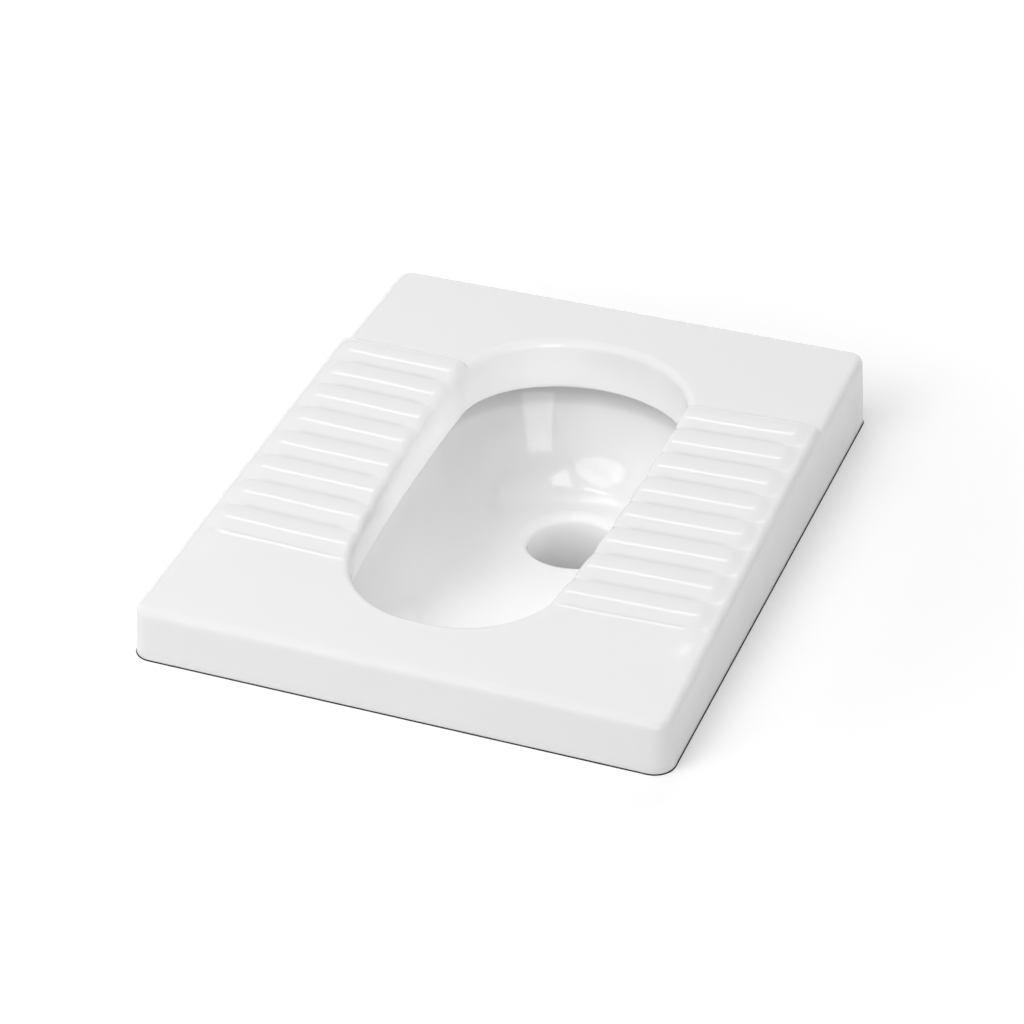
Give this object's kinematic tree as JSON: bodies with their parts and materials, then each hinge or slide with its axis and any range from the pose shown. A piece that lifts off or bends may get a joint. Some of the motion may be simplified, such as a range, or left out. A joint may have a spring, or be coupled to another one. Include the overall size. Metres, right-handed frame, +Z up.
{
  "type": "squat toilet",
  "caption": "Glazed china squat pan with ribbed treads, an open rim and a round drain, with its flush connector and a swivelling floor trap.",
  "frame": {"origin": "centre of the slab's footprint, on its underside, which beds on the finished floor", "axes": "+X to the user's right when the user faces the rear, +Y to the rear, where the drain, flush inlet and soil outlet are, +Z up; the floor is Z = 0"},
  "size_m": [0.44, 0.6835, 0.4331],
  "materials": {
    "glazed_china": "gloss white glaze",
    "black_rubber": "satin moulded rubber",
    "grey_plastic": "satin moulded plastic",
    "dark_grey_plastic": "satin moulded plastic",
    "stainless_steel": "rolled strip, lightly brushed"
  },
  "bodies": {
    "floor_pan": {"pan": "glazed_china", "flush_connector": "black_rubber", "horn_clip_band": "stainless_steel", "pipe_clip_band": "stainless_steel", "clip_housings": "stainless_steel", "clip_screws": "stainless_steel"},
    "trap": {"trap_inlet_bend": "grey_plastic", "trap_outlet_bend": "grey_plastic", "pan_outlet_seal": "black_rubber", "elbow_seal": "black_rubber"},
    "elbow": {"outlet_elbow": "grey_plastic"},
    "gasket": {"cap_gasket": "black_rubber"},
    "cap": {"cleaning_cap": "dark_grey_plastic"}
  },
  "joints": [
    {"name": "trap_swivel", "type": "hinge", "parent": "floor_pan", "child": "trap", "pos_m": [0, 0.134, -0.14], "axis": [0, 0, 1], "range_deg": [-90, 90]},
    {"name": "elbow_swivel", "type": "hinge", "parent": "trap", "child": "elbow", "pos_m": [0, 0.284, -0.215], "axis": [0, 0, 1], "range_deg": [-100, 100]},
    {"name": "cap_travel", "type": "slide", "parent": "trap", "child": "gasket", "axis": [0, -1, 0], "range_m": [0, 0.012]},
    {"name": "cap_turn", "type": "hinge", "parent": "gasket", "child": "cap", "pos_m": [0, 0.062, -0.232], "axis": [0, -1, 0], "range_deg": [0, 1080]}
  ],
  "couplings": [
    {"joint": "cap_travel", "follows": "cap_turn", "m_per_rad": 0.00063662}
  ]
}
